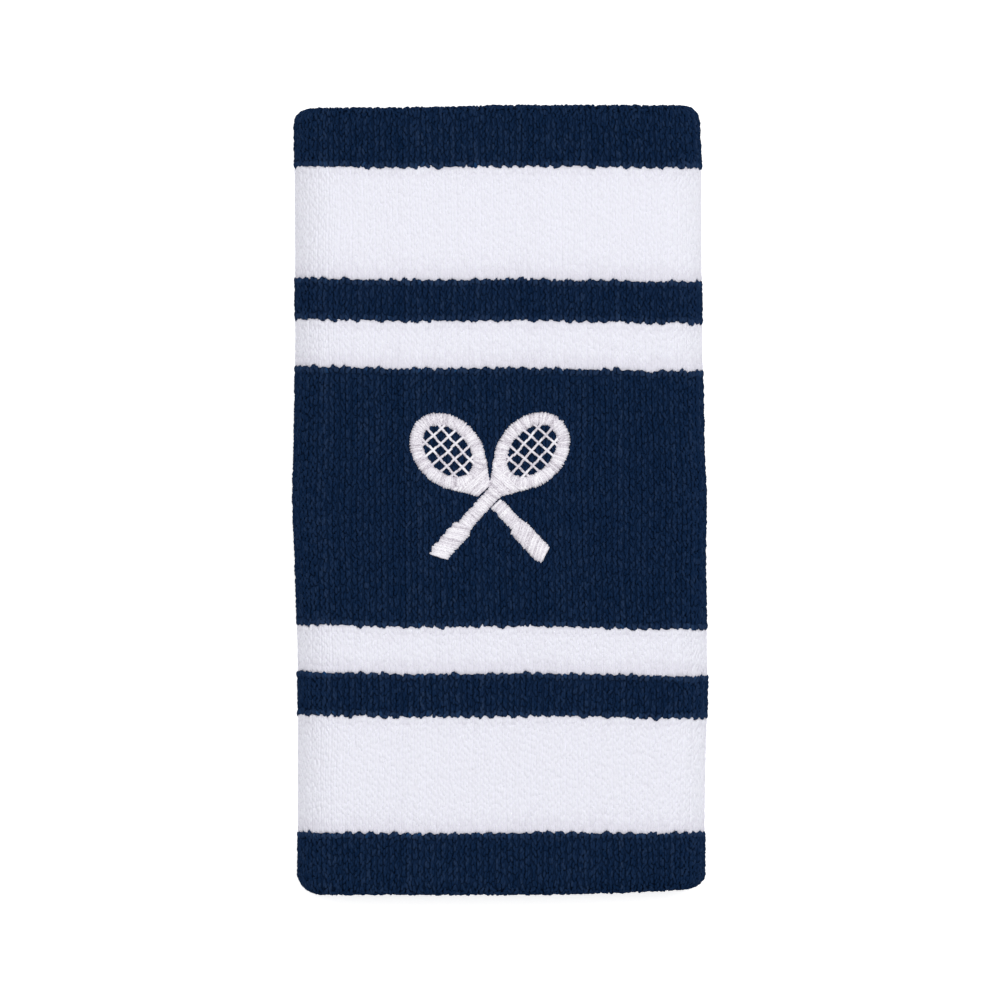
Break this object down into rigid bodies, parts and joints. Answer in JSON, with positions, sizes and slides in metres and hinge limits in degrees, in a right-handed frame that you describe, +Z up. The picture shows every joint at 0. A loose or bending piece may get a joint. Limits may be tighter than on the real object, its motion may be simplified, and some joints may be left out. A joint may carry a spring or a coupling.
{
  "type": "terry wristband",
  "caption": "Double-length striped terry wristband for racket sports, a folded double-walled knit tube with an embroidered crossed-rackets emblem, lying flat.",
  "frame": {"origin": "middle of the underside, where the band lies on a flat surface", "axes": "+Y along the tube's length towards its top end, +X across its flat width, +Z up through both walls towards the embroidered side"},
  "size_m": [0.0658, 0.127, 0.015],
  "materials": {
    "navy_terry": "soft matte cotton terry loops",
    "white_terry": "soft matte cotton terry loops",
    "ground_knit": "fine matte knit",
    "elastic": "covered elastic yarn",
    "embroidery_thread": "glossy trilobal polyester satin stitch",
    "backing": "non-woven tear-away"
  },
  "bodies": {
    "root": {"ground_knit_tube": "ground_knit", "elastic_yarn": "elastic", "closing_seam_thread": "ground_knit", "lining_pile_upper": "navy_terry", "lining_pile_lower": "navy_terry", "hem_band_top": "navy_terry", "wide_white_band_top": "white_terry", "narrow_navy_band_top": "navy_terry", "narrow_white_band_top": "white_terry", "centre_navy_band": "navy_terry", "narrow_white_band_bottom": "white_terry", "narrow_navy_band_bottom": "navy_terry", "wide_white_band_bottom": "white_terry", "hem_band_bottom": "navy_terry", "emblem_racket_over": "embroidery_thread", "emblem_racket_under_head": "embroidery_thread", "emblem_racket_under_grip": "embroidery_thread", "emblem_strings_over": "embroidery_thread", "emblem_strings_under": "embroidery_thread", "embroidery_backing": "backing", "bobbin_thread": "embroidery_thread"}
  },
  "joints": []
}
